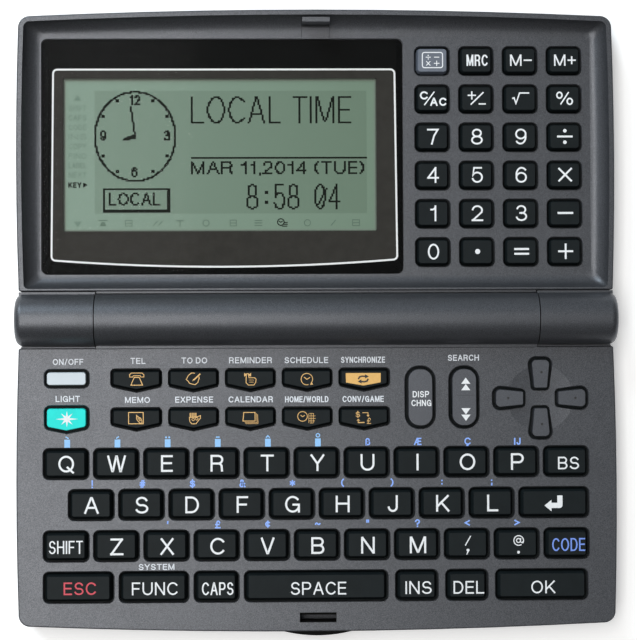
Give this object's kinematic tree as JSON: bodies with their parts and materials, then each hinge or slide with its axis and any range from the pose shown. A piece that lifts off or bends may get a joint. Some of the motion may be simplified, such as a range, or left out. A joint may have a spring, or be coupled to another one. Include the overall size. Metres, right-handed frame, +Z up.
{
  "type": "electronic organizer",
  "caption": "Pocket electronic organizer that folds shut like a book, with a display and calculator keys in the lid, a typewriter keyboard in the base and a latched lid.",
  "frame": {"origin": "on the table, midway along the hinge and straight under its axis, which is the middle of the opened part's footprint", "axes": "+X to the user's right along the hinge, +Y away from the user from the base to the lid, +Z up"},
  "size_m": [0.1442, 0.1508, 0.0165],
  "materials": {
    "case_plastic": "fine metallic speckle",
    "dark_plastic": "satin",
    "black_key": "satin",
    "grey_key": "satin",
    "pale_key": "satin",
    "turquoise_key": "satin",
    "window": "clear, polished",
    "mask": "printed black film",
    "lcd": "polarised glass",
    "light_panel": "smooth",
    "inner_plastic": "moulded",
    "circuit_board": "solder mask",
    "chip": "moulded",
    "steel": "plain",
    "cell_steel": "plated",
    "spring_metal": "plain",
    "rubber_mat": "silicone",
    "black_rubber": "moulded",
    "contact_rubber": "striped",
    "cable_film": "film",
    "red_button": "satin"
  },
  "bodies": {
    "base": {"lower_case": "case_plastic", "keyboard_cover": "case_plastic", "battery_cover": "case_plastic", "rubber_feet": "black_rubber", "case_screws": "steel", "main_board": "circuit_board", "key_mat": "rubber_mat", "processor": "chip", "memory_chips": "chip", "quartz_crystal": "steel", "piezo_buzzer": "spring_metal", "main_cells": "cell_steel", "backup_cell": "cell_steel", "battery_contacts": "spring_metal", "data_jack": "dark_plastic", "latch_spring": "steel", "hinge_clip": "steel", "hinge_flex_cable": "cable_film"},
    "lid": {"lid_shell": "case_plastic", "lid_frame": "case_plastic", "display_window": "window", "display_mask": "mask", "lcd_panel": "lcd", "backlight_panel": "light_panel", "display_holder": "inner_plastic", "zebra_strips": "contact_rubber", "lid_board": "circuit_board", "driver_chips": "chip", "calculator_key_mat": "rubber_mat", "lid_hook": "dark_plastic", "lid_screws": "steel", "hinge_pins": "steel"},
    "latch_button": {"latch_button": "dark_plastic"},
    "reset_button": {"reset_button": "red_button"},
    "telephone_key": {"telephone_key": "black_key"},
    "to_do_key": {"to_do_key": "black_key"},
    "reminder_key": {"reminder_key": "black_key"},
    "schedule_key": {"schedule_key": "black_key"},
    "transfer_key": {"transfer_key": "black_key"},
    "memo_key": {"memo_key": "black_key"},
    "expense_key": {"expense_key": "black_key"},
    "calendar_key": {"calendar_key": "black_key"},
    "world_time_key": {"world_time_key": "black_key"},
    "conversion_key": {"conversion_key": "black_key"},
    "on_off_key": {"on_off_key": "pale_key"},
    "light_key": {"light_key": "turquoise_key"},
    "display_change_key": {"display_change_key": "grey_key"},
    "search_rocker": {"search_rocker": "grey_key"},
    "cursor_up_key": {"cursor_up_key": "black_key"},
    "cursor_left_key": {"cursor_left_key": "black_key"},
    "cursor_down_key": {"cursor_down_key": "black_key"},
    "cursor_right_key": {"cursor_right_key": "black_key"},
    "upper_letter_keys": {"upper_letter_keys": "black_key"},
    "middle_letter_keys": {"middle_letter_keys": "black_key"},
    "lower_letter_keys": {"lower_letter_keys": "black_key"},
    "bottom_row_keys": {"bottom_row_keys": "black_key"},
    "calculator_keys_1": {"calculator_keys_1": "black_key"},
    "calculator_keys_2": {"calculator_keys_2": "black_key"},
    "calculator_keys_3": {"calculator_keys_3": "black_key"},
    "calculator_keys_4": {"calculator_keys_4": "black_key"}
  },
  "joints": [
    {"name": "lid_hinge", "type": "hinge", "parent": "base", "child": "lid", "pos_m": [0, 0, 0.0103], "axis": [1, 0, 0], "range_deg": [0, 180], "deforming": ["hinge_flex_cable"]},
    {"name": "latch_press", "type": "slide", "parent": "base", "child": "latch_button", "axis": [0, 1, 0], "range_m": [0, 0.001], "stiffness_N_per_m": 300, "springref_m": -0.001, "deforming": ["latch_spring"]},
    {"name": "reset_press", "type": "slide", "parent": "base", "child": "reset_button", "axis": [0, 0, 1], "range_m": [0, 0.0005], "stiffness_N_per_m": 200, "springref_m": -0.0005},
    {"name": "telephone_key_press", "type": "slide", "parent": "base", "child": "telephone_key", "axis": [0, 0, 1], "range_m": [-0.0008, 0], "stiffness_N_per_m": 400, "springref_m": 0.0005, "deforming": ["key_mat"]},
    {"name": "to_do_key_press", "type": "slide", "parent": "base", "child": "to_do_key", "axis": [0, 0, 1], "range_m": [-0.0008, 0], "stiffness_N_per_m": 400, "springref_m": 0.0005, "deforming": ["key_mat"]},
    {"name": "reminder_key_press", "type": "slide", "parent": "base", "child": "reminder_key", "axis": [0, 0, 1], "range_m": [-0.0008, 0], "stiffness_N_per_m": 400, "springref_m": 0.0005, "deforming": ["key_mat"]},
    {"name": "schedule_key_press", "type": "slide", "parent": "base", "child": "schedule_key", "axis": [0, 0, 1], "range_m": [-0.0008, 0], "stiffness_N_per_m": 400, "springref_m": 0.0005, "deforming": ["key_mat"]},
    {"name": "transfer_key_press", "type": "slide", "parent": "base", "child": "transfer_key", "axis": [0, 0, 1], "range_m": [-0.0008, 0], "stiffness_N_per_m": 400, "springref_m": 0.0005, "deforming": ["key_mat"]},
    {"name": "memo_key_press", "type": "slide", "parent": "base", "child": "memo_key", "axis": [0, 0, 1], "range_m": [-0.0008, 0], "stiffness_N_per_m": 400, "springref_m": 0.0005, "deforming": ["key_mat"]},
    {"name": "expense_key_press", "type": "slide", "parent": "base", "child": "expense_key", "axis": [0, 0, 1], "range_m": [-0.0008, 0], "stiffness_N_per_m": 400, "springref_m": 0.0005, "deforming": ["key_mat"]},
    {"name": "calendar_key_press", "type": "slide", "parent": "base", "child": "calendar_key", "axis": [0, 0, 1], "range_m": [-0.0008, 0], "stiffness_N_per_m": 400, "springref_m": 0.0005, "deforming": ["key_mat"]},
    {"name": "world_time_key_press", "type": "slide", "parent": "base", "child": "world_time_key", "axis": [0, 0, 1], "range_m": [-0.0008, 0], "stiffness_N_per_m": 400, "springref_m": 0.0005, "deforming": ["key_mat"]},
    {"name": "conversion_key_press", "type": "slide", "parent": "base", "child": "conversion_key", "axis": [0, 0, 1], "range_m": [-0.0008, 0], "stiffness_N_per_m": 400, "springref_m": 0.0005, "deforming": ["key_mat"]},
    {"name": "on_off_key_press", "type": "slide", "parent": "base", "child": "on_off_key", "axis": [0, 0, 1], "range_m": [-0.0008, 0], "stiffness_N_per_m": 400, "springref_m": 0.0005, "deforming": ["key_mat"]},
    {"name": "light_key_press", "type": "slide", "parent": "base", "child": "light_key", "axis": [0, 0, 1], "range_m": [-0.0008, 0], "stiffness_N_per_m": 400, "springref_m": 0.0005, "deforming": ["key_mat"]},
    {"name": "display_change_key_press", "type": "slide", "parent": "base", "child": "display_change_key", "axis": [0, 0, 1], "range_m": [-0.0008, 0], "stiffness_N_per_m": 400, "springref_m": 0.0005, "deforming": ["key_mat"]},
    {"name": "search_rocker_press", "type": "slide", "parent": "base", "child": "search_rocker", "axis": [0, 0, 1], "range_m": [-0.0008, 0], "stiffness_N_per_m": 400, "springref_m": 0.0005, "deforming": ["key_mat"]},
    {"name": "cursor_up_key_press", "type": "slide", "parent": "base", "child": "cursor_up_key", "axis": [0, 0, 1], "range_m": [-0.0008, 0], "stiffness_N_per_m": 400, "springref_m": 0.0005, "deforming": ["key_mat"]},
    {"name": "cursor_left_key_press", "type": "slide", "parent": "base", "child": "cursor_left_key", "axis": [0, 0, 1], "range_m": [-0.0008, 0], "stiffness_N_per_m": 400, "springref_m": 0.0005, "deforming": ["key_mat"]},
    {"name": "cursor_down_key_press", "type": "slide", "parent": "base", "child": "cursor_down_key", "axis": [0, 0, 1], "range_m": [-0.0008, 0], "stiffness_N_per_m": 400, "springref_m": 0.0005, "deforming": ["key_mat"]},
    {"name": "cursor_right_key_press", "type": "slide", "parent": "base", "child": "cursor_right_key", "axis": [0, 0, 1], "range_m": [-0.0008, 0], "stiffness_N_per_m": 400, "springref_m": 0.0005, "deforming": ["key_mat"]},
    {"name": "upper_letter_keys_press", "type": "slide", "parent": "base", "child": "upper_letter_keys", "axis": [0, 0, 1], "range_m": [-0.0008, 0], "stiffness_N_per_m": 400, "springref_m": 0.0005, "deforming": ["key_mat"]},
    {"name": "middle_letter_keys_press", "type": "slide", "parent": "base", "child": "middle_letter_keys", "axis": [0, 0, 1], "range_m": [-0.0008, 0], "stiffness_N_per_m": 400, "springref_m": 0.0005, "deforming": ["key_mat"]},
    {"name": "lower_letter_keys_press", "type": "slide", "parent": "base", "child": "lower_letter_keys", "axis": [0, 0, 1], "range_m": [-0.0008, 0], "stiffness_N_per_m": 400, "springref_m": 0.0005, "deforming": ["key_mat"]},
    {"name": "bottom_row_keys_press", "type": "slide", "parent": "base", "child": "bottom_row_keys", "axis": [0, 0, 1], "range_m": [-0.0008, 0], "stiffness_N_per_m": 400, "springref_m": 0.0005, "deforming": ["key_mat"]},
    {"name": "calculator_keys_1_press", "type": "slide", "parent": "lid", "child": "calculator_keys_1", "axis": [0, 0, 1], "range_m": [-0.0008, 0], "stiffness_N_per_m": 400, "springref_m": 0.0005, "deforming": ["calculator_key_mat"]},
    {"name": "calculator_keys_2_press", "type": "slide", "parent": "lid", "child": "calculator_keys_2", "axis": [0, 0, 1], "range_m": [-0.0008, 0], "stiffness_N_per_m": 400, "springref_m": 0.0005, "deforming": ["calculator_key_mat"]},
    {"name": "calculator_keys_3_press", "type": "slide", "parent": "lid", "child": "calculator_keys_3", "axis": [0, 0, 1], "range_m": [-0.0008, 0], "stiffness_N_per_m": 400, "springref_m": 0.0005, "deforming": ["calculator_key_mat"]},
    {"name": "calculator_keys_4_press", "type": "slide", "parent": "lid", "child": "calculator_keys_4", "axis": [0, 0, 1], "range_m": [-0.0008, 0], "stiffness_N_per_m": 400, "springref_m": 0.0005, "deforming": ["calculator_key_mat"]}
  ]
}
